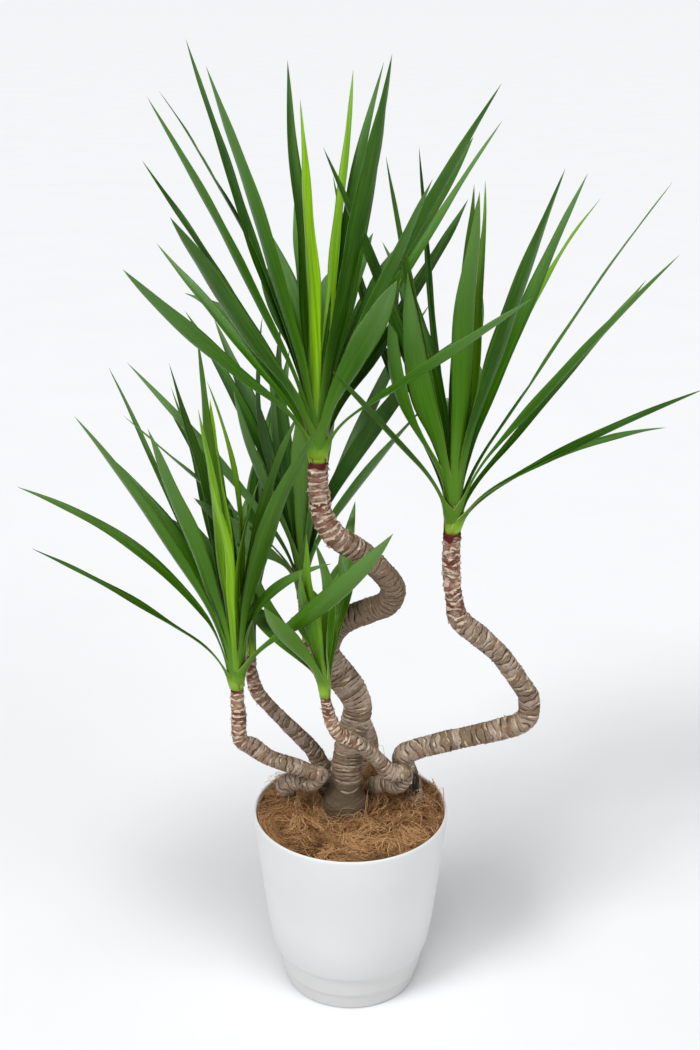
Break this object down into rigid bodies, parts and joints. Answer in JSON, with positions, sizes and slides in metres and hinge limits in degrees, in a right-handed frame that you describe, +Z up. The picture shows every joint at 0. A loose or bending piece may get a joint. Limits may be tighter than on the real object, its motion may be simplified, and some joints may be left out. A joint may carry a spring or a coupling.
{
  "type": "potted yucca",
  "caption": "House plant of bent ringed canes topped by crowns of long sword leaves, standing in soil and coir in a plain round tapered planter.",
  "frame": {"origin": "middle of the planter's flat underside", "axes": "+Z up along the planter's axis, +X to the viewer's right, -Y towards the front of the plant"},
  "size_m": [0.9276, 0.7647, 1.4517],
  "materials": {
    "planter": "smooth satin white moulding",
    "soil": "loose dark potting mix",
    "coir": "matted coconut fibres",
    "bark": "ringed cane bark, maroon and cream near the crown",
    "leaf": "glossy dark green blade with fine lengthwise veins"
  },
  "bodies": {
    "root": {"planter": "planter", "potting_soil": "soil", "coir_mulch": "coir", "cane_main": "bark", "cane_right": "bark", "cane_left": "bark", "cane_back_left": "bark", "cane_front": "bark", "cane_back": "bark", "crown_main": "leaf", "crown_right": "leaf", "crown_left": "leaf", "crown_back_left": "leaf", "crown_front": "leaf", "crown_back": "leaf"}
  },
  "joints": []
}
